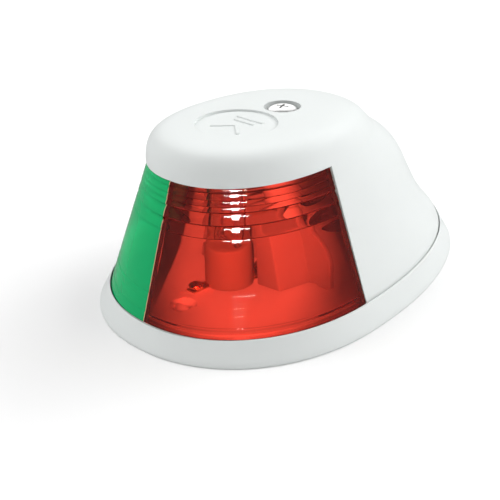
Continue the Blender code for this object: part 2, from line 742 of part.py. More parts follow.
bent_pieces = [make_contact("contact_port", 1), make_contact("contact_starboard", -1),
               make_lamp_lead("lamp_lead_port", 1), make_lamp_lead("lamp_lead_starboard", -1),
               make_filament()]
bpy.context.view_layer.update()
solids = [curve_to_mesh(item) for item in bent_pieces]

lift_axis = empty_at("cover_lift_axis", (0, 0, 0))
lens_axis = empty_at("lens_lift_axis", (0, 0, 0))
screw_axis = empty_at("screw_axis", (0, SCREW_Y, HEAD_BASE_Z))
lamp_axis = empty_at("lamp_axis", (0, LAMP_Y, LAMP_BASE_Z))
hang_on(lift_axis, cover)
hang_on(lens_axis, port_lens, starboard_lens)
hang_on(screw_axis, screw, washer)
hang_on(lamp_axis, glass, *solids[2:])
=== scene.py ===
"""Looks of the bi-colour bow navigation light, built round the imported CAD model.

Frame: +Z up from the deck, -Y to the bow, +X to port (red), -X to starboard (green).
Sizes in this file are in millimetres, and every mesh is written in metres.
"""

import math

import bmesh
import bpy
from mathutils import Matrix, Vector


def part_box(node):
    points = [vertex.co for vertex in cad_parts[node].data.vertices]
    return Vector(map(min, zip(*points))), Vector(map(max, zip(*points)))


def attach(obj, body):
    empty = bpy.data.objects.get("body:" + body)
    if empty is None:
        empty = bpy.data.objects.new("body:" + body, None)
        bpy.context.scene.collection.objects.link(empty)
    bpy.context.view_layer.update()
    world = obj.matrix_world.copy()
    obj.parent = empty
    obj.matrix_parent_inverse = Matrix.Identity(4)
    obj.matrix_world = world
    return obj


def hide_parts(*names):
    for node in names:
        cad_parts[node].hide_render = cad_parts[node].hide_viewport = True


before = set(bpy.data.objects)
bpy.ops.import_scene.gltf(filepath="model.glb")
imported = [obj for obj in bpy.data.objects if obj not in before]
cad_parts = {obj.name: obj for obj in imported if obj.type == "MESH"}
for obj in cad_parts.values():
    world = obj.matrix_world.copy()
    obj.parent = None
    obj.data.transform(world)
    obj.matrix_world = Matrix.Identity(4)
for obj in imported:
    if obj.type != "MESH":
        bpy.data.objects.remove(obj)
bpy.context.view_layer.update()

MM = 0.001


def box_mm(node):
    low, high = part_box(node)
    return Vector(low) / MM, Vector(high) / MM


# ---------------------------------------------------------------- dimensions

BASE_LOW, BASE_HIGH = box_mm("base_plate")
SEAL_LOW, SEAL_HIGH = box_mm("rim_seal")
COVER_HIGH = box_mm("cover")[1]
LENS_LOW, LENS_HIGH = box_mm("lens_port_red")
SCREW_LOW, SCREW_HIGH = box_mm("cover_screw")
LAMP_LOW, LAMP_HIGH = box_mm("lamp_glass")
HOLDER_LOW, HOLDER_HIGH = box_mm("lamp_holder")
SCREEN_LOW, SCREEN_HIGH = box_mm("light_screen")
GROMMET_LOW, GROMMET_HIGH = box_mm("wire_grommet")
INSERT_LOW, INSERT_HIGH = box_mm("threaded_insert")

EGG_POWER = 2.15                 # superellipse power of every egg-shaped section
WIDEST_Y = -10.35                # station of the greatest beam
GAP = 0.3                        # clearance that the CAD keeps between touching pieces

SHELL_HALF_BEAM = SEAL_HIGH.x    # the foot of lens and cover stands on the seal
SHELL_FRONT = WIDEST_Y - SEAL_LOW.y
SHELL_REAR = SEAL_HIGH.y - WIDEST_Y

RIM_TOP_Z = 6.24
FLOOR_Z = 5.4
CHANNEL_Z = SEAL_LOW.z - GAP
CHANNEL_WIDTH = 2.95
HOLLOW_Z = 2.4
HOLLOW_INSET = 2.8

WALL = 2.2
WALL_SLOPE = 0.357               # inset gained per millimetre of height
FOOT_Z = LENS_LOW.z
LENS_TOP_Z = LENS_HIGH.z
LENS_AFT_Y = LENS_HIGH.y
COVER_PROUD = 0.45
COVER_REAR = ((5.0, 64.15), (6.24, 64.1), (9.5, 62.3), (13.7, 58.3), (19.0, 54.0), (25.3, 50.5),
              (31.7, 46.9), (36.5, 42.0), (40.3, 36.3))
CAP_Z = LENS_TOP_Z + GAP
BOW_LIFT = 0.42                  # how far the shoulder at the bow stands above the top's middle
CAP_RISE = COVER_HIGH.z - CAP_Z - BOW_LIFT
CAP_FALL = 0.02                  # drop of the top per millimetre aft
CAP_FULL_BOW = (14.0, 0.36)      # powers of the shoulder's profile at the bow and the tail
CAP_FULL_TAIL = (10.4, 1.6)
CAP_Y = -11.5
ABOVE_ALL_Z = 60.0               # top of the cutters that open upwards

SCREW_X = (SCREW_LOW.x + SCREW_HIGH.x) / 2
SCREW_Y = (SCREW_LOW.y + SCREW_HIGH.y) / 2
HEAD_RADIUS = (SCREW_HIGH.x - SCREW_LOW.x) / 2
HEAD_TOP_Z = SCREW_HIGH.z
HEAD_BASE_Z = HEAD_TOP_Z - 2.3
SHANK_RADIUS = 2.05
THREAD_ROOT = 1.55
THREAD_PITCH = 0.794
COUNTERBORE_RADIUS = 4.9
COUNTERBORE_Z = HEAD_BASE_Z - 1.0
BOSS_TOP_Z = COUNTERBORE_Z + 1.8
BOSS_RADIUS = 6.2
BOSS_Z = INSERT_HIGH.z + 0.6
POST_TOP_Z = BASE_HIGH.z
POST_RADIUS = 4.7
POST_FILLET = 1.2

BADGE_Y = -18.5
BADGE_RADIUS = 10.6
BADGE_FLOOR_Z = HEAD_TOP_Z - 0.5

LAMP_Y = (LAMP_LOW.y + LAMP_HIGH.y) / 2
LAMP_RADIUS = LAMP_HIGH.x
LAMP_SHOULDER_Z = LAMP_HIGH.z - LAMP_RADIUS - 0.1
GLASS_WALL = 0.55
BLADE_HALF_X = 4.7
BLADE_HALF_Y = 1.35
FILAMENT_Z = 25.0
FILAMENT_HALF = 2.3
COIL_RADIUS = 0.3
COIL_TURNS = 16
LEAD_X = 2.9
LEAD_REACH = 1.77                # from the blade's middle to the leg beside its face

SCREEN_THICKNESS = 1.6
TAB_REACH = 8.0                  # of the screen's two screwed tabs, aft of its back
SCREEN_FACE_Y = SCREEN_HIGH.y - TAB_REACH - SCREEN_THICKNESS
SCREEN_CORNER = 9.5
CHEEK_TOP_Z = SCREEN_HIGH.z - 0.6
CHEEK_INNER_X = 6.8
CHEEK_FRONT_X = 14.8             # half width of the cheeks' front and back faces at the foot
CHEEK_BACK_X = 17.5
CHEEK_TAPER = 0.2
CHEEK_WALL = 1.5

MOUNT_HOLES_Y = (-40.0, 38.0)
MOUNT_HOLE_RADIUS = 2.3
MOUNT_SINK = 1.7
MOUNT_PAD_RADIUS = 5.2
WIRE_Y = (GROMMET_LOW.y + GROMMET_HIGH.y) / 2
WIRE_HOLE_RADIUS = 4.6

# Edges of the lens's ring prisms, below and above its smooth band.
LOWER_RINGS = (RIM_TOP_Z, 8.65, 11.4, 13.2, 16.0)
UPPER_RINGS = (28.8, 31.7, 34.6, 36.0, 37.4, 39.0, LENS_TOP_Z)
BAND_ROUND = 1.5                 # height of the rounded shoulder at the band's top
BAND_Z = 22.35                   # middle of the band, where the wall is thickest
BAND_BULGE = 0.55
BAND_HALF = 6.5
LOWER_DEPTH = 0.045              # a prism's relief, as a share of its height
UPPER_DEPTH = 0.215
SEAM_HALF = 0.12                 # from the seam's middle to the end of each lens half

SEGMENTS = 176                   # points round a whole egg section
LENS_STEPS = 72                  # steps along each half of the lens
LENS_SHARP = 24.0                # the least angle in degrees that stays a sharp edge
WINDOW_STEPS = 76                # steps of the cover across the window, and round the tail
TAIL_STEPS = 100
SKIRT_STEPS = 34                 # steps of the cover's wall from its foot up to the cap
SKIRT_Z = 7.2


# ---------------------------------------------------------------- mesh helpers

def mesh_from(bm, name, sharp=35.0):
    """Finishes a bmesh given in millimetres as a smooth-shaded mesh in metres."""
    bmesh.ops.recalc_face_normals(bm, faces=bm.faces)
    bmesh.ops.scale(bm, verts=bm.verts, vec=(MM, MM, MM))
    mesh = bpy.data.meshes.new(name)
    bm.to_mesh(mesh)
    bm.free()
    mesh.shade_smooth()
    mesh.set_sharp_from_angle(angle=math.radians(sharp))
    return mesh


def skin(bm, rows, cyclic_across=True, cyclic_along=False):
    """Adds the quads between rows of vertices."""
    spans = list(zip(rows, rows[1:]))
    if cyclic_along:
        spans.append((rows[-1], rows[0]))
    count = len(rows[0])
    last = count if cyclic_across else count - 1
    for low, high in spans:
        for i in range(last):
            j = (i + 1) % count
            bm.faces.new((low[i], low[j], high[j], high[i]))


def capped_skin(bm, rows):
    """A skin with its first and last row closed."""
    skin(bm, rows)
    bm.faces.new(rows[0])
    bm.faces.new(rows[-1])


def loft(name, rings, closed=False, sharp=35.0):
    """A body through rings of points; a closed one runs back to its first ring."""
    bm = bmesh.new()
    rows = [[bm.verts.new(point) for point in ring] for ring in rings]
    if closed:
        skin(bm, rows, cyclic_along=True)
    else:
        capped_skin(bm, rows)
    return mesh_from(bm, name, sharp)


def circle(centre, radius, z, segments=64):
    return [(centre[0] + radius * math.cos(math.tau * i / segments),
             centre[1] + radius * math.sin(math.tau * i / segments), z) for i in range(segments)]


def turned(name, profile, centre, segments=64):
    """A round body from (radius, height) pairs."""
    return loft(name, [circle(centre, r, z, segments) for r, z in profile])


def rounded_edges(bm, edge):
    if edge > 0:
        bmesh.ops.bevel(bm, geom=bm.edges[:], offset=edge, segments=3, affect="EDGES", profile=0.5)


def block(name, low, high, edge=0.0):
    """A box, with rounded edges when an edge radius is given."""
    bm = bmesh.new()
    bmesh.ops.create_cube(bm, size=1.0)
    low, high = Vector(low), Vector(high)
    bmesh.ops.scale(bm, verts=bm.verts, vec=high - low)
    bmesh.ops.translate(bm, verts=bm.verts, vec=(high + low) / 2)
    rounded_edges(bm, edge)
    return mesh_from(bm, name, 50.0)


def tube(name, points, radius, sides=10):
    """A round wire with flat ends along a smooth run of points."""
    bm = bmesh.new()
    rows = []
    normal = None
    for i, point in enumerate(points):
        ahead = Vector(points[min(i + 1, len(points) - 1)])
        behind = Vector(points[max(i - 1, 0)])
        along = (ahead - behind).normalized()
        if normal is None:
            normal = along.orthogonal().normalized()
        normal = (normal - along * normal.dot(along)).normalized()
        side = along.cross(normal)
        row = []
        for k in range(sides):
            angle = math.tau * k / sides
            offset = normal * math.cos(angle) + side * math.sin(angle)
            row.append(bm.verts.new(Vector(point) + offset * radius))
        rows.append(row)
    capped_skin(bm, rows)
    return mesh_from(bm, name)


def new_object(name, mesh, material):
    item = bpy.data.objects.new(name, mesh)
    bpy.context.scene.collection.objects.link(item)
    mesh.materials.append(material)
    return item


def cut(item, mesh, operation="DIFFERENCE"):
    """Applies a Boolean with a mesh at once, so no cutter is left in the scene."""
    cutter = bpy.data.objects.new("cutter", mesh)
    bpy.context.scene.collection.objects.link(cutter)
    step = item.modifiers.new("cut", "BOOLEAN")
    step.operation = operation
    step.solver = "EXACT"
    step.object = cutter
    graph = bpy.context.evaluated_depsgraph_get()
    result = bpy.data.meshes.new_from_object(item.evaluated_get(graph))
    item.modifiers.remove(step)
    item.data = result
    bpy.data.objects.remove(cutter)
    result.shade_smooth()
    result.set_sharp_from_angle(angle=math.radians(35.0))


def one_material(item, material):
    """Drops the material slots that Booleans have added."""
    item.data.materials.clear()
    item.data.materials.append(material)


def moved(mesh, angle, x, y):
    """Turns a mesh about Z, in degrees, and moves it, in millimetres."""
    mesh.transform(Matrix.Rotation(math.radians(angle), 4, "Z"))
    mesh.transform(Matrix.Translation(Vector((x, y, 0.0)) * MM))
    return mesh


def place(item, body, slot, *nodes):
    """Rides a piece on its body and lets it stand for CAD nodes. The slot, the piece's finish, is not
    used.
    """
    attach(item, body)
    if nodes:
        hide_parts(*nodes)


# ---------------------------------------------------------------- egg sections

def egg_point(size, angle, z):
    """A point of an egg with size (half beam, front, rear); angle 0 is the bow, 90 port."""
    half_beam, front, rear = size
    across = math.sin(angle)
    along = math.cos(angle)
    power = 2 / EGG_POWER
    length = front if along >= 0 else rear
    x = half_beam * math.copysign(abs(across) ** power, across)
    y = WIDEST_Y - length * math.copysign(abs(along) ** power, along)
    return Vector((x, y, z))


def egg_ring(size, z):
    return [egg_point(size, math.tau * i / SEGMENTS, z) for i in range(SEGMENTS)]


def angle_at(size, y):
    """The angle where an egg of this size crosses a station ahead of its widest one."""
    along = (WIDEST_Y - y) / size[1]
    return math.acos(along ** (EGG_POWER / 2))


def footprint(inset):
    """Size of the base's outline, drawn in."""
    return (BASE_HIGH.x - inset, WIDEST_Y - BASE_LOW.y - inset, BASE_HIGH.y - WIDEST_Y - inset)


def shell(inset):
    """Size of the outline on which the lens and the cover stand, drawn in."""
    return (SHELL_HALF_BEAM - inset, SHELL_FRONT - inset, SHELL_REAR - inset)


def wall_inset(z):
    """How far the sloping wall has come in at a height."""
    return WALL_SLOPE * max(z - RIM_TOP_Z, 0.0)


def smooth_value(stations, z):
    """Reads a smooth curve through a few (height, value) stations."""
    last = len(stations) - 2
    k = max(i for i in range(len(stations) - 1) if i == 0 or stations[i][0] <= z)
    k = min(k, last)

    def slope(i):
        low = stations[max(i - 1, 0)]
        high = stations[min(i + 1, last + 1)]
        return (high[1] - low[1]) / (high[0] - low[0])

    (z0, v0), (z1, v1) = stations[k], stations[k + 1]
    span = z1 - z0
    t = (z - z0) / span
    return ((2 * t**3 - 3 * t**2 + 1) * v0 + (t**3 - 2 * t**2 + t) * span * slope(k)
            + (3 * t**2 - 2 * t**3) * v1 + (t**3 - t**2) * span * slope(k + 1))


def step_up(low, high, value):
    """A smooth step from 0 at low to 1 at high."""
    t = min(max((value - low) / (high - low), 0.0), 1.0)
    return t * t * (3 - 2 * t)


def cover_size(z, thickness):
    """Size of the cover's section at a height, at a depth in its wall."""
    share = max(z - RIM_TOP_Z, 0.0) / (CAP_Z - RIM_TOP_Z)
    inset = wall_inset(z) - COVER_PROUD * share + thickness
    rear = smooth_value(COVER_REAR, z) - thickness
    return (SHELL_HALF_BEAM - inset, SHELL_FRONT - inset, rear)


def cap_point(angle, level, reach, thickness):
    """A point of the cap at one level of its shoulder, drawn in by reach over the flat top."""
    bow = 0.5 + 0.5 * math.cos(angle)
    inner = CAP_FULL_BOW[0] * bow + CAP_FULL_TAIL[0] * (1 - bow)
    outer = CAP_FULL_BOW[1] * bow + CAP_FULL_TAIL[1] * (1 - bow)
    share = reach * (1 - level ** (1 / outer)) ** (1 / inner)
    point = egg_point(cover_size(CAP_Z, thickness), angle, CAP_Z)
    point.x *= share
    point.y = CAP_Y + (point.y - CAP_Y) * share
    rise = CAP_RISE - thickness - CAP_FALL * (point.y - CAP_Y)
    point.z += rise * (1 - share**inner) ** outer
    return point


# ---------------------------------------------------------------- materials

class Nodes:
    """A short way to build one material's node tree."""

    def __init__(self, name):
        self.material = bpy.data.materials.new(name)
        self.material.use_nodes = True
        self.tree = self.material.node_tree
        self.shader = self.tree.nodes["Principled BSDF"]
        self.output = self.tree.nodes["Material Output"]
        self.place = self.add("ShaderNodeTexCoord").outputs["Object"]

    def add(self, kind, **settings):
        node = self.tree.nodes.new(kind)
        for key, value in settings.items():
            setattr(node, key, value)
        return node

    def link(self, source, target):
        self.tree.links.new(source, target)

    def noise(self, scale, detail=4.0, roughness=0.55):
        noise = self.add("ShaderNodeTexNoise")
        noise.inputs["Scale"].default_value = scale
        noise.inputs["Detail"].default_value = detail
        noise.inputs["Roughness"].default_value = roughness
        self.link(self.place, noise.inputs["Vector"])
        return noise.outputs["Fac"]

    def ramp(self, source, stops):
        ramp = self.add("ShaderNodeValToRGB")
        elements = ramp.color_ramp.elements
        while len(elements) < len(stops):
            elements.new(0.5)
        for element, (position, colour) in zip(elements, stops):
            element.position = position
            element.color = (*colour, 1.0)
        self.link(source, ramp.inputs["Fac"])
        return ramp.outputs["Color"]

    def span(self, source, low, high):
        """Spreads the middle of a noise from low to high."""
        node = self.add("ShaderNodeMapRange")
        node.inputs["From Min"].default_value = 0.3
        node.inputs["From Max"].default_value = 0.7
        node.inputs["To Min"].default_value = low
        node.inputs["To Max"].default_value = high
        self.link(source, node.inputs["Value"])
        return node.outputs["Result"]

    def math(self, operation, first, second):
        node = self.add("ShaderNodeMath", operation=operation)
        for socket, value in zip(node.inputs, (first, second)):
            if isinstance(value, (int, float)):
                socket.default_value = value
            else:
                self.link(value, socket)
        return node.outputs["Value"]

    def bump(self, height, distance, rounded=0.0):
        """Relief in millimetres, over edges that look rounded by that radius."""
        bump = self.add("ShaderNodeBump")
        bump.inputs["Strength"].default_value = 1.0
        bump.inputs["Distance"].default_value = distance * MM
        self.link(height, bump.inputs["Height"])
        if rounded:
            edge = self.add("ShaderNodeBevel", samples=4)
            edge.inputs["Radius"].default_value = rounded * MM
            self.link(edge.outputs["Normal"], bump.inputs["Normal"])
        self.link(bump.outputs["Normal"], self.shader.inputs["Normal"])

    def set(self, **values):
        for key, value in values.items():
            self.shader.inputs[key.replace("_", " ")].default_value = value

    def feed(self, socket, source):
        self.link(source, self.shader.inputs[socket])


def moulded_plastic(name, light, dark, roughness, grain=0.006, rounded=0.25):
    """Moulded plastic: slow colour drift, fine orange peel, and specks of dust and handling."""
    n = Nodes(name)
    drift = n.noise(28.0, 3.0)
    n.feed("Base Color", n.ramp(drift, [(0.25, dark), (0.75, light)]))
    wear = n.noise(240.0, 6.0, 0.7)
    n.feed("Roughness", n.span(wear, roughness - 0.06, roughness + 0.08))
    peel = n.noise(1900.0, 3.0, 0.5)
    flow = n.noise(90.0, 4.0, 0.6)
    height = n.math("ADD", n.math("MULTIPLY", peel, 0.5), flow)
    n.bump(height, grain, rounded)
    n.set(IOR=1.5)
    return n.material


def tinted_lens(name, tint, passed, clarity=1.0):
    """Clear tinted plastic. Rays to the lamps pass straight through, tinted by passed."""
    n = Nodes(name)
    n.set(Base_Color=(*tint, 1.0), Transmission_Weight=clarity, IOR=1.33)
    haze = n.noise(160.0, 5.0, 0.65)
    n.feed("Roughness", n.span(haze, 0.012, 0.045))
    ripple = n.noise(70.0, 3.0, 0.5)
    n.bump(ripple, 0.012)
    clear = n.add("ShaderNodeBsdfTransparent")
    clear.inputs["Color"].default_value = (*passed, 1.0)
    path = n.add("ShaderNodeLightPath")
    straight = n.math("MAXIMUM", path.outputs["Is Shadow Ray"], path.outputs["Is Diffuse Ray"])
    mix = n.add("ShaderNodeMixShader")
    n.link(straight, mix.inputs["Fac"])
    n.link(n.shader.outputs["BSDF"], mix.inputs[1])
    n.link(clear.outputs["BSDF"], mix.inputs[2])
    n.link(mix.outputs["Shader"], n.output.inputs["Surface"])
    return n.material


def metal(name, light, dark, roughness):
    n = Nodes(name)
    tone = n.noise(150.0, 4.0, 0.6)
    n.feed("Base Color", n.ramp(tone, [(0.3, dark), (0.7, light)]))
    marks = n.noise(900.0, 5.0, 0.6)
    n.feed("Roughness", n.span(marks, roughness - 0.07, roughness + 0.1))
    n.bump(marks, 0.004, 0.1)
    n.set(Metallic=1.0)
    return n.material


def rubber(name):
    n = Nodes(name)
    bloom = n.noise(120.0, 4.0)
    n.feed("Base Color", n.ramp(bloom, [(0.3, (0.018, 0.018, 0.019)), (0.8, (0.05, 0.05, 0.048))]))
    n.feed("Roughness", n.span(n.noise(500.0), 0.6, 0.85))
    n.bump(n.noise(2500.0, 4.0), 0.012)
    return n.material


WHITE = moulded_plastic("white_plastic_visual", (0.80, 0.83, 0.82), (0.765, 0.795, 0.785), 0.34)
INNER = moulded_plastic("white_inner_visual", (0.84, 0.83, 0.79), (0.79, 0.78, 0.73), 0.48)
NYLON = moulded_plastic("cream_nylon_visual", (0.70, 0.64, 0.50), (0.62, 0.56, 0.43), 0.5, 0.012)
RED = tinted_lens("red_lens_visual", (0.93, 0.064, 0.05), (0.7, 0.68, 0.56), 0.95)
GREEN = tinted_lens("green_lens_visual", (0.011, 0.58, 0.2), (0.004, 0.04, 0.02), 0.55)
JOINT = moulded_plastic("lens_joint_visual", (0.85, 0.45, 0.3), (0.75, 0.36, 0.22), 0.3, 0.002, 0.0)
# Near-black: the divider web in the seam, and painted shade in strips at the lens's aft ends.
DIVIDER_AND_PAINTED_SHADE = moulded_plastic("lens_divider_and_painted_shade_visual", (0.03, 0.006, 0.005), (0.02, 0.004, 0.003), 0.5, 0.002, 0.0)
GLASS = tinted_lens("lamp_glass_visual", (0.97, 0.985, 0.99), (0.98, 0.99, 0.99))
STEEL = metal("stainless_visual", (0.86, 0.86, 0.85), (0.76, 0.76, 0.75), 0.34)
BRASS = metal("brass_visual", (0.83, 0.62, 0.27), (0.68, 0.47, 0.18), 0.28)
TUNGSTEN = metal("tungsten_visual", (0.42, 0.42, 0.43), (0.28, 0.28, 0.29), 0.4)
RUBBER = rubber("black_rubber_visual")


# ---------------------------------------------------------------- base

def make_base():
    """The rim and the floor are two pieces, so that lamps can light the inside alone."""
    rim = ((0.35, 0.0), (0.12, 0.1), (0.0, 0.4), (0.05, 0.75), (0.55, 1.6), (1.13, 2.6), (1.62, 3.4),
           (2.07, 4.2), (2.45, 4.9), (2.68, 5.35), (2.86, 5.75), (3.02, 6.02), (3.18, 6.18))
    rings = [egg_ring(footprint(HOLLOW_INSET), HOLLOW_Z), egg_ring(footprint(HOLLOW_INSET), 0.0)]
    rings += [egg_ring(footprint(inset), z) for inset, z in rim]
    rings += [egg_ring(shell(-GAP - 0.12), RIM_TOP_Z), egg_ring(shell(-GAP), RIM_TOP_Z - 0.12)]
    rings += [egg_ring(shell(-GAP), CHANNEL_Z), egg_ring(shell(CHANNEL_WIDTH), CHANNEL_Z)]
    rings += [egg_ring(shell(CHANNEL_WIDTH), HOLLOW_Z)]
    rim = new_object("base_rim", loft("rim", rings, closed=True), WHITE)
    place(rim, "base", "white_plastic", "base_plate")
    inside = CHANNEL_WIDTH + 0.01
    rings = [egg_ring(shell(inside), HOLLOW_Z), egg_ring(shell(inside), FLOOR_Z - 0.25),
             egg_ring(shell(inside + 0.25), FLOOR_Z)]
    base = new_object("base_floor", loft("base", rings), WHITE)
    for y in MOUNT_HOLES_Y:
        pad = [(MOUNT_PAD_RADIUS, 0.0), (MOUNT_PAD_RADIUS, FLOOR_Z - 0.4)]
        cut(base, turned("pad", pad, (0, y)), "UNION")
    post = [(POST_RADIUS + 2.0, FLOOR_Z - 1.0), (POST_RADIUS + 2.0, FLOOR_Z)]
    for step in range(7):
        angle = math.radians(15.0 * step)
        post.append((POST_RADIUS + 0.8 + POST_FILLET * (1 - math.sin(angle)),
                     FLOOR_Z + POST_FILLET * (1 - math.cos(angle))))
    post += [(POST_RADIUS + 0.1, POST_TOP_Z - 0.4), (POST_RADIUS - 0.3, POST_TOP_Z)]
    cut(base, turned("post", post, (0, SCREW_Y)), "UNION")
    for y in MOUNT_HOLES_Y:
        hole = [(MOUNT_HOLE_RADIUS, -1.0), (MOUNT_HOLE_RADIUS, FLOOR_Z - 1.2),
                (MOUNT_HOLE_RADIUS + MOUNT_SINK, FLOOR_Z + 0.5),
                (MOUNT_HOLE_RADIUS + MOUNT_SINK, FLOOR_Z + 2.0)]
        cut(base, turned("hole", hole, (0, y)))
    cut(base, turned("inlet", [(WIRE_HOLE_RADIUS, -1.0), (WIRE_HOLE_RADIUS, 8.0)], (0, WIRE_Y)))
    bore = [(INSERT_HIGH.x + GAP, INSERT_LOW.z - GAP), (INSERT_HIGH.x + GAP, POST_TOP_Z + 1.0)]
    cut(base, turned("bore", bore, (0, SCREW_Y)))
    one_material(base, WHITE)
    place(base, "base", "white_plastic", "base_plate")


# ---------------------------------------------------------------- lens

def lens_outside():
    """The outer face as (inset, height), from the foot up.

    Below the band each prism is proud at its top, with a small ledge facing up. Above the
    band each prism rounds inwards to its top, under the overhanging foot of the next.
    """
    face = [(0.2, FOOT_Z), (0.0, FOOT_Z + 0.2), (0.0, RIM_TOP_Z)]
    for low, high in zip(LOWER_RINGS, LOWER_RINGS[1:]):
        deep = LOWER_DEPTH * (high - low) if low > RIM_TOP_Z else 0.0
        for share in (0.0, 0.15, 0.3, 0.5, 0.7, 0.88):
            z = low + 0.001 + (high - 0.12 - low) * share
            face.append((wall_inset(z) + deep * (1 - share) ** 2, z))
        face += [(wall_inset(high), high - 0.12), (wall_inset(high) + 0.015, high - 0.06),
                 (wall_inset(high) + 0.05, high - 0.015)]
    face += [(wall_inset(z), z) for z in (16.001, 18.0, 20.2, BAND_Z, 24.5, 26.5)]
    edges = (UPPER_RINGS[0] - BAND_ROUND,) + UPPER_RINGS
    for low, high in zip(edges, edges[1:]):
        deep = UPPER_DEPTH * (high - low)
        for share in (0.0, 0.2, 0.38, 0.54, 0.66, 0.76, 0.84, 0.91, 0.96, 1.0):
            z = low + 0.02 + (high - 0.02 - low) * share
            face.append((wall_inset(z) + deep * share**3, z))
    return face


def lens_profile():
    """The wall's closed section as (inset, height): ringed outside, smooth inside."""
    inside = []
    for z in (39.7, 36.0, 32.0, 28.8, 27.0, 25.0, BAND_Z, 20.0, 17.8, 15.9, 12.0, 9.0, 7.2):
        bulge = BAND_BULGE * max(1 - ((z - BAND_Z) / BAND_HALF) ** 2, 0.0)
        inside.append((wall_inset(z) + WALL + bulge, z))
    inside += [(wall_inset(7.0) + WALL + 0.2, 6.6), (WALL + 0.2, 6.1), (WALL + 0.2, FOOT_Z + 0.2),
               (WALL, FOOT_Z)]
    return lens_outside() + [(wall_inset(LENS_TOP_Z) + WALL - 0.2, LENS_TOP_Z)] + inside


def make_lens(name, side, material, node, slot):
    """One half of the lens, from the seam at the bow to its aft end."""
    profile = lens_profile()
    bm = bmesh.new()
    rows = []
    for k in range(LENS_STEPS + 1):
        share = k / LENS_STEPS
        row = []
        for inset, z in profile:
            size = shell(inset)
            aft = angle_at(size, LENS_AFT_Y)
            point = egg_point(size, aft * share, z)
            point.x = side * max(point.x, SEAM_HALF)
            row.append(bm.verts.new(point))
        rows.append(row)
    capped_skin(bm, rows)
    bmesh.ops.triangulate(bm, faces=[f for f in bm.faces if len(f.verts) > 4])
    lens = new_object(name, mesh_from(bm, name, LENS_SHARP), material)
    place(lens, "lens", slot, node)


def lens_strip(name, corners, material):
    """A thin strip that follows the wall from foot to top, through four corners a level."""
    bm = bmesh.new()
    rows = [[bm.verts.new(point) for point in corners(inset, z)] for inset, z in lens_outside()]
    capped_skin(bm, rows)
    strip = new_object(name, mesh_from(bm, name, LENS_SHARP), material)
    place(strip, "lens", "red_lens")


def make_lens_joint():
    """The bonded seam at the bow over a dark divider web, and painted shade at the aft ends: dark strips
    inside the wall.
    """
    for name, half, start, end, material in (("lens_joint", 0.1, 0.0, 0.1, JOINT),
                                             ("lens_joint_web", 0.26, 0.14, WALL - 0.1, DIVIDER_AND_PAINTED_SHADE)):
        def corners(inset, z):
            return [(x, WIDEST_Y - (SHELL_FRONT - inset - behind), z) for x, behind in
                    ((-half, start), (half, start), (half, end), (-half, end))]
        lens_strip(name, corners, material)
    # Painted shade: dark strips just inside each aft end face darken the lens's aft edges.
    for name, side in (("lens_port_painted_shade", 1), ("lens_starboard_painted_shade", -1)):
        def corners(inset, z):
            found = []
            for y, behind in ((0.3, 0.1), (0.03, 0.1), (0.03, WALL - 0.1), (0.3, WALL - 0.1)):
                size = shell(inset + behind)
                point = egg_point(size, angle_at(size, LENS_AFT_Y - y), z)
                found.append((side * point.x, point.y, point.z))
            return found
        lens_strip(name, corners, DIVIDER_AND_PAINTED_SHADE)


# ---------------------------------------------------------------- cover

def cover_columns(size):
    """Angles round a cover section: across the window, then round the tail."""
    edge = angle_at(size, LENS_AFT_Y + GAP)
    front = [-edge + 2 * edge * k / WINDOW_STEPS for k in range(WINDOW_STEPS)]
    rear = [edge + (math.tau - 2 * edge) * k / TAIL_STEPS for k in range(TAIL_STEPS + 1)]
    return front, rear


# Rings of the cap as (level, reach): up its shoulder, then in over the flat top.
CAP_ROUNDS = [(level, 1.0) for level in
              (0.01, 0.03, 0.06, 0.1, 0.15, 0.21, 0.28, 0.35, 0.43, 0.51, 0.59, 0.67, 0.74, 0.8,
               0.855, 0.9, 0.935, 0.96, 0.977, 0.988, 0.995)]
CAP_ROUNDS += [(0.995, reach) for reach in (0.9, 0.78, 0.64, 0.5, 0.36, 0.22, 0.1)]


def cover_skin(name, outer, inner):
    """The part of the cover's wall between two depths, as one closed body."""
    levels = [FOOT_Z, FOOT_Z + 0.3, RIM_TOP_Z]
    levels += [SKIRT_Z + k * (CAP_Z - SKIRT_Z) / SKIRT_STEPS for k in range(SKIRT_STEPS)]
    bm = bmesh.new()
    sides = []
    for thickness in (outer, inner):
        skirt = []
        for z in levels:
            size = cover_size(z, thickness)
            rear = cover_columns(size)[1]
            skirt.append([bm.verts.new(egg_point(size, a, z)) for a in rear])
        front, rear = cover_columns(cover_size(CAP_Z, thickness))
        around = rear[:-1] + [a + math.tau for a in front]
        cap = [[bm.verts.new(cap_point(a, 0.0, 1.0, thickness)) for a in around]]
        skirt.append(cap[0][:TAIL_STEPS + 1])
        for level, reach in CAP_ROUNDS:
            cap.append([bm.verts.new(cap_point(a, level, reach, thickness)) for a in around])
        skin(bm, skirt, cyclic_across=False)
        skin(bm, cap)
        centre = bm.verts.new((0.0, CAP_Y, CAP_Z + CAP_RISE - thickness))
        top = cap[-1]
        for i, vertex in enumerate(top):
            bm.faces.new((vertex, top[(i + 1) % len(top)], centre))
        sides.append((skirt, cap))
    (skirt, cap), (skirt_in, cap_in) = sides
    skin(bm, [skirt[0], skirt_in[0]], cyclic_across=False)
    skin(bm, [cap[0][TAIL_STEPS:] + cap[0][:1], cap_in[0][TAIL_STEPS:] + cap_in[0][:1]],
         cyclic_across=False)
    for end in (0, -1):
        skin(bm, [[row[end] for row in skirt], [row[end] for row in skirt_in]],
             cyclic_across=False)
    return new_object(name, mesh_from(bm, name), WHITE)


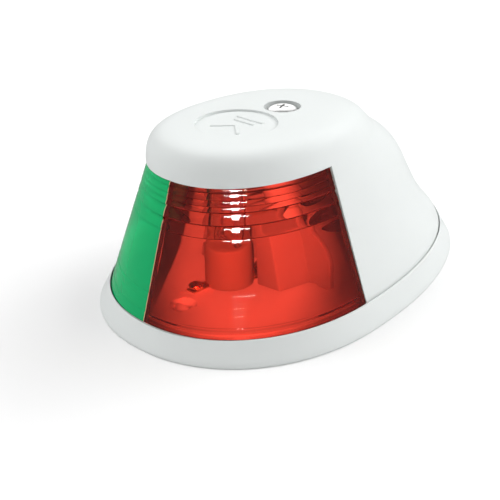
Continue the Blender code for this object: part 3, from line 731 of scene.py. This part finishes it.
def make_cover():
    """Two skins back to back, so that the inner one can be lit through the lens alone."""
    half = WALL / 2
    cover = cover_skin("cover_moulding", 0.0, half)
    inside = cover_skin("cover_inside", half + 0.01, WALL)
    boss = [(BOSS_RADIUS - 0.4, BOSS_Z), (BOSS_RADIUS, BOSS_Z + 0.4), (BOSS_RADIUS + 0.3, BOSS_TOP_Z)]
    cut(inside, turned("boss", boss, (0, SCREW_Y)), "UNION")
    for item in (cover, inside):
        recess = [(COUNTERBORE_RADIUS, COUNTERBORE_Z), (COUNTERBORE_RADIUS + 0.15, ABOVE_ALL_Z)]
        cut(item, turned("counterbore", recess, (0, SCREW_Y), segments=96))
    hole = [(SHANK_RADIUS + GAP, 30.0), (SHANK_RADIUS + GAP, ABOVE_ALL_Z)]
    cut(inside, turned("hole", hole, (0, SCREW_Y)))
    badge = [(BADGE_RADIUS, BADGE_FLOOR_Z), (BADGE_RADIUS + 0.1, ABOVE_ALL_Z)]
    cut(cover, turned("badge", badge, (0, BADGE_Y), segments=128))
    for item in (cover, inside):
        one_material(item, WHITE)
        place(item, "cover", "white_plastic", "cover")


def make_badge_mark():
    """A plain moulded mark in the recess: two bars, and a chevron that opens to the bow."""
    low, high = BADGE_FLOOR_Z - 0.2, BADGE_FLOOR_Z + 0.28
    edge = 0.2
    long_bar = block("bar0", (-4.6, BADGE_Y + 4.6, low), (4.6, BADGE_Y + 5.5, high), edge)
    short_bar = block("bar1", (-3.4, BADGE_Y + 2.4, low), (3.4, BADGE_Y + 3.3, high), edge)
    mark = new_object("badge_mark", long_bar, WHITE)
    cut(mark, short_bar, "UNION")
    for side in (1, -1):
        arm = block("arm", (-0.45, -3.4, low), (0.45, 3.4, high), edge)
        cut(mark, moved(arm, side * 48.0, side * 2.35, BADGE_Y - 2.2), "UNION")
    one_material(mark, WHITE)
    place(mark, "cover", "white_plastic")


# ---------------------------------------------------------------- cover screw and insert

def thread_radius(z, angle, root, crest):
    """Radius of a rounded V thread at a height and angle."""
    phase = (z / THREAD_PITCH - angle / math.tau) % 1.0
    tooth = 1 - abs(2 * phase - 1)
    return root + (crest - root) * step_up(0.1, 0.9, tooth)


def threaded_shank(segments):
    """Rings of the shank from its tip up; the thread fades out at both ends."""
    low, top = SCREW_LOW.z, HEAD_BASE_Z - 2.0
    rows = int((top - low) / (THREAD_PITCH / 10))
    rings = []
    for k in range(rows + 1):
        z = low + (top - low) * k / rows
        fade = min(step_up(0, 1.2, z - low), step_up(0, 0.8, top - z))
        plain = THREAD_ROOT if z - low < 2 else SHANK_RADIUS
        tip = 0.6 + 0.4 * step_up(0, 0.9, z - low)
        ring = []
        for i in range(segments):
            angle = math.tau * i / segments
            radius = thread_radius(z, angle, THREAD_ROOT, SHANK_RADIUS)
            radius = (plain + (radius - plain) * fade) * tip
            ring.append((SCREW_X + radius * math.cos(angle), SCREW_Y + radius * math.sin(angle), z))
        rings.append(ring)
    return rings


def recess_wing(turn):
    """A quarter of the cross recess, wider at the top than at its floor."""
    bm = bmesh.new()
    rows = []
    for z, near, far, length in ((HEAD_TOP_Z - 1.5, 0.22, 0.16, 0.5), (HEAD_TOP_Z + 0.6, 0.4, 0.32, 2.35)):
        rows.append([bm.verts.new(p) for p in
                     ((-near, 0, z), (near, 0, z), (far, length, z), (-far, length, z))])
    capped_skin(bm, rows)
    return moved(mesh_from(bm, "wing"), turn, SCREW_X, SCREW_Y)


def make_cover_screw():
    segments = 56
    side_z = HEAD_BASE_Z + 0.75
    head = [(SHANK_RADIUS, HEAD_BASE_Z), (HEAD_RADIUS - 0.15, HEAD_BASE_Z),
            (HEAD_RADIUS, HEAD_BASE_Z + 0.15)]
    for step in range(9):
        t = math.radians(90.0 * step / 9)
        head.append((HEAD_RADIUS * math.cos(t) ** 0.75, side_z + (HEAD_TOP_Z - side_z) * math.sin(t)))
    rings = threaded_shank(segments)
    rings += [circle((SCREW_X, SCREW_Y), radius, z, segments) for radius, z in head]
    screw = new_object("cover_screw_visual", loft("screw", rings), STEEL)
    for quarter in range(4):
        cut(screw, recess_wing(90.0 * quarter + 20.0))
    one_material(screw, STEEL)
    place(screw, "screw", "stainless_steel", "cover_screw")


def make_threaded_insert():
    """A brass sleeve: two knurled bands outside, a thread inside."""
    segments, steps = 72, 80
    low, high = INSERT_LOW.z, INSERT_HIGH.z
    outer, bore = INSERT_HIGH.x, SHANK_RADIUS + 0.15
    thread, knurl, neck = 0.35, 0.28, 0.2
    rings = []
    for z, knurled in ((low, False), (low + 0.3, False), (low + 0.31, True), (low + 3.4, True),
                       (low + 3.41, False), (low + 4.4, False), (low + 4.41, True), (high - 0.7, True),
                       (high - 0.69, False), (high, False)):
        rings.append((z, [outer - (knurl * (i % 2) if knurled else neck) for i in range(segments)]))
    for k in range(steps + 1):
        z = high - (high - low) * k / steps
        rings.append((z, [bore + thread - thread_radius(z, math.tau * i / segments, 0.0, thread)
                          for i in range(segments)]))
    points = []
    for z, radii in rings:
        points.append([(radius * math.cos(math.tau * i / segments),
                        SCREW_Y + radius * math.sin(math.tau * i / segments), z)
                       for i, radius in enumerate(radii)])
    insert = new_object("threaded_insert_visual", loft("insert", points, closed=True), BRASS)
    place(insert, "base", "brass", "threaded_insert")


# ---------------------------------------------------------------- lamp

def lamp_ring(half_x, half_y, z, power=2.0):
    """A superellipse round the lamp's axis; power 2 is a true ellipse."""
    segments = 56
    points = []
    for i in range(segments):
        angle = math.tau * i / segments
        x = half_x * math.copysign(abs(math.cos(angle)) ** (2 / power), math.cos(angle))
        y = half_y * math.copysign(abs(math.sin(angle)) ** (2 / power), math.sin(angle))
        points.append((x, LAMP_Y + y, z))
    return points


def lamp_wall(inward):
    """Rings of the bulb from the flat blade up to the dome, drawn in by inward."""
    rings = []
    for z, blend in ((LAMP_LOW.z, 0.0), (13.0, 0.0), (17.0, 0.02), (17.6, 0.12), (18.3, 0.4), (19.0, 0.72),
                     (19.8, 0.92), (20.8, 1.0), (23.5, 1.0), (26.5, 1.0), (LAMP_SHOULDER_Z, 1.0)):
        half_x = BLADE_HALF_X + (LAMP_RADIUS - BLADE_HALF_X) * blend - inward
        half_y = BLADE_HALF_Y + (LAMP_RADIUS - BLADE_HALF_Y) * blend - inward
        rings.append(lamp_ring(half_x, half_y, z, 4.0 - 2.0 * blend))
    dome = LAMP_HIGH.z - LAMP_SHOULDER_Z - inward
    for degrees in (12, 24, 36, 48, 59, 69, 78, 85):
        angle = math.radians(degrees)
        radius = (LAMP_RADIUS - inward) * math.cos(angle)
        rings.append(lamp_ring(radius, radius, LAMP_SHOULDER_Z + dome * math.sin(angle)))
    return rings


def make_filament():
    """A fine coil that arches a little between the leads."""
    steps = COIL_TURNS * 14
    coil = []
    for k in range(steps + 1):
        share = k / steps
        angle = math.tau * COIL_TURNS * share
        arch = 1.0 * (1 - (2 * share - 1) ** 2)
        coil.append((-FILAMENT_HALF + 2 * FILAMENT_HALF * share, LAMP_Y + COIL_RADIUS * math.cos(angle),
                     FILAMENT_Z + arch + COIL_RADIUS * math.sin(angle)))
    filament = new_object("lamp_filament_visual", tube("filament", coil, 0.06, 6), TUNGSTEN)
    place(filament, "lamp", "tungsten", "lamp_filament")


def make_lead(node, side):
    """A wire from the filament down through the blade, bent back up beside its face."""
    run = [(side * FILAMENT_HALF, LAMP_Y, FILAMENT_Z + 0.1), (side * 2.45, LAMP_Y, 22.5),
           (side * 2.8, LAMP_Y, 18.5)]
    run += [(side * LEAD_X, LAMP_Y, z) for z in (16.0, 13.0, 10.0, 8.0)]
    for step in range(9):
        angle = math.radians(180.0 * step / 8)
        run.append((side * LEAD_X, LAMP_Y + side * LEAD_REACH / 2 * (1 - math.cos(angle)),
                    7.6 - 0.75 * math.sin(angle)))
    run += [(side * LEAD_X, LAMP_Y + side * LEAD_REACH, z) for z in (9.0, 10.5, 11.8)]
    lead = new_object(node + "_visual", tube(node, run, 0.22), STEEL)
    place(lead, "lamp", "stainless_steel", node)


def make_lamp():
    wall = lamp_wall(0.0)[::-1] + lamp_wall(GLASS_WALL)
    glass = new_object("lamp_glass_visual", loft("glass", wall, sharp=60.0), GLASS)
    place(glass, "lamp", "lamp_glass", "lamp_glass")
    make_filament()
    make_lead("lamp_lead_port", 1)
    make_lead("lamp_lead_starboard", -1)


def make_lamp_holder():
    """A round column with a slot for the lamp's blade and pockets for the contacts."""
    low, high = HOLDER_LOW, HOLDER_HIGH
    radius = high.x
    column = [(radius - 0.3, low.z), (radius, low.z + 0.3), (radius, high.z - 0.6),
              (radius - 0.18, high.z - 0.18), (radius - 0.6, high.z)]
    holder = new_object("lamp_holder_visual", turned("holder", column, (0, LAMP_Y), segments=96),
                        NYLON)
    cut(holder, block("socket", (-5.1, LAMP_Y - 1.7, low.z + 0.9), (5.1, LAMP_Y + 1.7, high.z + 5)))
    for side in (1, -1):
        x_low, x_high = sorted((side * 1.2, side * 4.8))
        y_low, y_high = sorted((LAMP_Y + side * 1.0, LAMP_Y + side * 3.3))
        cut(holder, block("pocket", (x_low, y_low, low.z - 1), (x_high, y_high, high.z + 5)))
        y_low, y_high = sorted((LAMP_Y + side * 1.0, LAMP_Y + side * 9.0))
        cut(holder, block("tail", (x_low, y_low, low.z - 1), (x_high, y_high, low.z + 1.1)))
    one_material(holder, NYLON)
    place(holder, "base", "cream_nylon", "lamp_holder")


def make_contact(node, side):
    """A bent spring strip: a bowed leaf beside the blade and a flat tail to its screw."""
    thick, half_wide = 0.4, 1.5
    centre = [(2.55, 13.6), (2.6, 12.9), (2.85, 12.0), (2.92, 11.0), (2.85, 10.0), (2.6, 9.2), (2.55, 8.4),
              (2.55, 7.4), (2.57, 6.7), (2.7, 6.25), (3.0, 5.98), (3.5, 5.9), (5.0, 5.9), (8.0, 5.9),
              (11.5, 5.9)]
    bm = bmesh.new()
    rows = []
    for i, (y, z) in enumerate(centre):
        ahead = Vector(centre[min(i + 1, len(centre) - 1)]) - Vector(centre[max(i - 1, 0)])
        normal = Vector((-ahead.y, ahead.x)).normalized() * thick / 2
        row = []
        for x, turn in ((-half_wide, 1), (-half_wide, -1), (half_wide, -1), (half_wide, 1)):
            row.append(bm.verts.new((side * 3.0 + x, LAMP_Y + side * (y + turn * normal.x),
                                     z + turn * normal.y)))
        rows.append(row)
    capped_skin(bm, rows)
    contact = new_object(node + "_visual", mesh_from(bm, node, 50.0), BRASS)
    place(contact, "base", "brass", node)


def make_small_screw(node, body, slot, material, slot_angle):
    """A slotted pan head standing where its CAD node stands."""
    low, high = box_mm(node)
    centre = ((low.x + high.x) / 2, (low.y + high.y) / 2)
    radius = (high.x - low.x) / 2
    tall = high.z - low.z
    profile = [(radius - 0.12, low.z), (radius, low.z + 0.12), (radius, low.z + tall * 0.4)]
    for step in range(1, 8):
        t = math.radians(90.0 * step / 8)
        profile.append((radius * math.cos(t) ** 0.7, low.z + tall * (0.4 + 0.6 * math.sin(t))))
    screw = new_object(node + "_visual", turned(node, profile, centre, segments=48), material)
    groove = block("slot", (-radius - 1, -0.27, high.z - 0.75), (radius + 1, 0.27, high.z + 1))
    cut(screw, moved(groove, slot_angle, *centre))
    one_material(screw, material)
    place(screw, body, slot, node)


def cheek(side, inset, low, high, edge):
    """A tapered block before the screen; inset draws in all but its low face."""
    bm = bmesh.new()
    rows = []
    for z in (low, high):
        drawn = CHEEK_TAPER * max(z - SCREEN_LOW.z, 0.0) + inset
        front_x, back_x = CHEEK_FRONT_X - drawn, CHEEK_BACK_X - drawn
        front_y, back_y = SCREEN_LOW.y + inset, SCREEN_FACE_Y + 0.8 - inset
        inner_x = CHEEK_INNER_X + inset
        rows.append([bm.verts.new((side * x, y, z)) for x, y in
                     ((inner_x, front_y), (front_x, front_y), (back_x, back_y), (inner_x, back_y))])
    capped_skin(bm, rows)
    rounded_edges(bm, edge)
    return mesh_from(bm, "cheek", 50.0)


def make_light_screen():
    """A low wall behind the lamp with two hollow cheeks and a screwed tab at each side."""
    half = SCREEN_HIGH.x
    back = SCREEN_FACE_Y + SCREEN_THICKNESS
    outline = [(-half, SCREEN_LOW.z), (half, SCREEN_LOW.z)]
    for side in (1, -1):
        for step in range(16):
            angle = math.radians(6.0 * step)
            turn = angle if side > 0 else math.radians(90.0) - angle
            outline.append((side * (half - SCREEN_CORNER + SCREEN_CORNER * math.cos(turn)),
                            SCREEN_HIGH.z - SCREEN_CORNER + SCREEN_CORNER * math.sin(turn)))
    tall = SCREEN_HIGH.z - SCREEN_LOW.z
    rings = []
    for by, y in ((0.3, SCREEN_FACE_Y), (0.09, SCREEN_FACE_Y + 0.09), (0.0, SCREEN_FACE_Y + 0.3),
                  (0.0, back - 0.3), (0.09, back - 0.09), (0.3, back)):
        rings.append([(x * (1 - by / half), y, SCREEN_LOW.z + (z - SCREEN_LOW.z) * (1 - by / tall))
                      for x, z in outline])
    screen = new_object("light_screen_visual", loft("screen", rings), INNER)
    low = SCREEN_LOW.z
    for side in (1, -1):
        cut(screen, cheek(side, 0.0, low, CHEEK_TOP_Z, 0.35), "UNION")
        cut(screen, cheek(side, CHEEK_WALL, low - 1.0, CHEEK_TOP_Z - CHEEK_WALL, 0.0))
        x_low, x_high = sorted((side * 10.5, side * 17.5))
        tab = block("tab", (x_low, back - 0.8, low), (x_high, SCREEN_HIGH.y, low + 1.4), 0.3)
        cut(screen, tab, "UNION")
        cut(screen, turned("eye", [(1.5, 0.0), (1.5, 10.0)], (side * 14.0, back + 4.6)))
    one_material(screen, INNER)
    place(screen, "base", "white_inner_plastic", "light_screen")


def finish_cad_node(node, material):
    """Gives a CAD node that keeps its own shape a full material."""
    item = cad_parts[node]
    for entry in item.material_slots:
        entry.material = material


# ---------------------------------------------------------------- stage

SIDE_ELEVATION = 35.0
SIDE_BOXES = ((-130.0, 0.28), (-40.0, 2.23), (-80.0, 0.78), (112.0, 1.5), (150.0, 2.9),
              (180.0, 2.4))                    # (azimuth, watts)
HIGH_ELEVATION = 62.0
HIGH_BOXES = ((-80.0, 1.8), (112.0, 0.85))
BOX_DISTANCE = 0.9
GLINT_AZIMUTH = 43.5
GLINT_DISTANCE = 0.8
HEAD_PANEL_FROM = (224.7, 33.0)                # azimuth, elevation
LAMP_TARGET = Vector((0.0, 0.0, 0.02))
BEAM_FROM = (42.5, 28.0)
BEAM_DISTANCE = 0.7
BEAM_ANGLE = 3.6
BEAM_TARGET = Vector((0.0100, -0.0280, 0.0175))
SKY_STRENGTH = 0.31
LENSES = ("lens_red_visual", "lens_green_visual")
INTERIOR = ("base_floor", "cover_inside", "light_screen_visual", "lamp_holder_visual",
            "lamp_glass_visual", "lamp_filament_visual", "lamp_lead_port_visual",
            "lamp_lead_starboard_visual", "contact_port_visual", "contact_starboard_visual",
            "terminal_screw_port_visual", "terminal_screw_starboard_visual",
            "screen_screw_port_visual", "screen_screw_starboard_visual")
CAMERA_PLACE = (0.16514, -0.18222, 0.13262)
CAMERA_ANGLES = (44.68, 27.42, -2.07)          # azimuth, elevation, roll
CAMERA_LENS = 70.16


def make_stage():
    bpy.ops.mesh.primitive_plane_add(size=6.0, location=(0.0, 0.0, 0.0))
    floor = bpy.context.object
    floor.name = "floor"
    n = Nodes("floor_paper")
    n.set(Base_Color=(0.93, 0.93, 0.93, 1.0), Roughness=0.9, Specular_IOR_Level=0.1)
    floor.data.materials.append(n.material)
    floor.visible_glossy = False


def towards(azimuth, elevation):
    """A direction in metres; azimuth 0 is over the bow and 90 to port."""
    a, e = math.radians(azimuth), math.radians(elevation)
    return Vector((math.sin(a) * math.cos(e), -math.cos(a) * math.cos(e), math.sin(e)))


def new_lamp(name, kind, power, place, target):
    """A lamp that stands at a place and shines at a target."""
    data = bpy.data.lights.new(name, kind)
    data.energy = power
    item = bpy.data.objects.new(name, data)
    bpy.context.scene.collection.objects.link(item)
    item.location = place
    item.rotation_euler = (target - place).to_track_quat("-Z", "Y").to_euler()
    return item


def area_light(name, azimuth, elevation, distance, size, power):
    """A soft rectangular lamp."""
    place = distance * towards(azimuth, elevation)
    item = new_lamp(name, "AREA", power, place, LAMP_TARGET)
    item.data.shape = "RECTANGLE"
    item.data.size, item.data.size_y = size
    return item


def beam(name, power):
    """A narrow lamp that shines in through the lens."""
    place = BEAM_TARGET + BEAM_DISTANCE * towards(*BEAM_FROM)
    item = new_lamp(name, "SPOT", power, place, BEAM_TARGET)
    item.data.spot_size = math.radians(BEAM_ANGLE)
    item.data.spot_blend = 0.12
    item.data.shadow_soft_size = 0.006
    return item


def soft_box(name, azimuth, elevation, size, power):
    """A wide fill that lights the plastic without showing as a reflection."""
    item = area_light(name, azimuth, elevation, BOX_DISTANCE, size, power)
    item.visible_glossy = False
    item.visible_transmission = False
    return item


def only_light(item, *pieces):
    """Keeps a lamp's light for a few pieces."""
    group = bpy.data.collections.new(item.name + "_pieces")
    for piece in pieces:
        group.objects.link(bpy.data.objects[piece])
    item.light_linking.receiver_collection = group


def make_lights():
    for azimuth, power in SIDE_BOXES:
        soft_box("side_%d" % azimuth, azimuth, SIDE_ELEVATION, (0.5, 0.4), power)
    for azimuth, power in HIGH_BOXES:
        soft_box("high_%d" % azimuth, azimuth, HIGH_ELEVATION, (0.4, 0.3), power)
    for name, elevation, size, power in (("ring_glint", 46.0, (0.1, 0.42), 12.0),
                                         ("ring_wings", 47.0, (0.3, 0.05), 6.0)):
        glint = area_light(name, GLINT_AZIMUTH, elevation, GLINT_DISTANCE, size, power)
        glint.visible_diffuse = False
        only_light(glint, *LENSES)
    panel = area_light("head_panel", *HEAD_PANEL_FROM, BOX_DISTANCE, (1.1, 0.9), 4.5)
    only_light(panel, "cover_screw_visual")
    for name, power, pieces in (("through_lens", 38.0, INTERIOR),
                                ("through_to_back", 48.0, ("base_floor", "cover_inside"))):
        only_light(beam(name, power), *pieces)
    green_wash = soft_box("green_wash", -50.0, SIDE_ELEVATION, (0.6, 0.5), 5.5)
    only_light(green_wash, "lens_green_visual")
    # The bright pieces inside bounce no light onto the others.
    for piece in ("base_floor", "light_screen_visual", "lamp_holder_visual"):
        bpy.data.objects[piece].visible_diffuse = False
    world = bpy.data.worlds.new("studio")
    world.use_nodes = True
    sky = world.node_tree.nodes["Background"]
    sky.inputs["Color"].default_value = (1.0, 1.0, 1.0, 1.0)
    sky.inputs["Strength"].default_value = SKY_STRENGTH
    bpy.context.scene.world = world


def make_camera():
    data = bpy.data.cameras.new("camera")
    data.lens = CAMERA_LENS
    data.sensor_width = 36.0
    data.clip_start = 0.01
    item = bpy.data.objects.new("camera", data)
    bpy.context.scene.collection.objects.link(item)
    azimuth, elevation, roll = CAMERA_ANGLES
    roll = math.radians(roll)
    back = towards(azimuth, elevation)
    right = (-back).cross(Vector((0, 0, 1))).normalized()
    up = right.cross(-back)
    across = right * math.cos(roll) + up * math.sin(roll)
    upward = up * math.cos(roll) - right * math.sin(roll)
    turned_axes = Matrix((across, upward, back)).transposed().to_4x4()
    item.matrix_world = Matrix.Translation(CAMERA_PLACE) @ turned_axes
    bpy.context.scene.camera = item


make_camera()
make_stage()

make_base()
for rubber_node in ("mounting_gasket", "rim_seal", "wire_grommet", "sealing_washer"):
    finish_cad_node(rubber_node, RUBBER)
make_threaded_insert()
make_light_screen()
make_small_screw("screen_screw_port", "base", "stainless_steel", STEEL, 25.0)
make_small_screw("screen_screw_starboard", "base", "stainless_steel", STEEL, -50.0)
make_lamp_holder()
make_contact("contact_port", 1)
make_contact("contact_starboard", -1)
make_small_screw("terminal_screw_port", "base", "brass", BRASS, 70.0)
make_small_screw("terminal_screw_starboard", "base", "brass", BRASS, 10.0)
make_lens("lens_red_visual", 1, RED, "lens_port_red", "red_lens")
make_lens("lens_green_visual", -1, GREEN, "lens_starboard_green", "green_lens")
make_lens_joint()
make_cover()
make_badge_mark()
make_cover_screw()
make_lamp()
make_lights()

bpy.context.scene.view_settings.view_transform = "Standard"
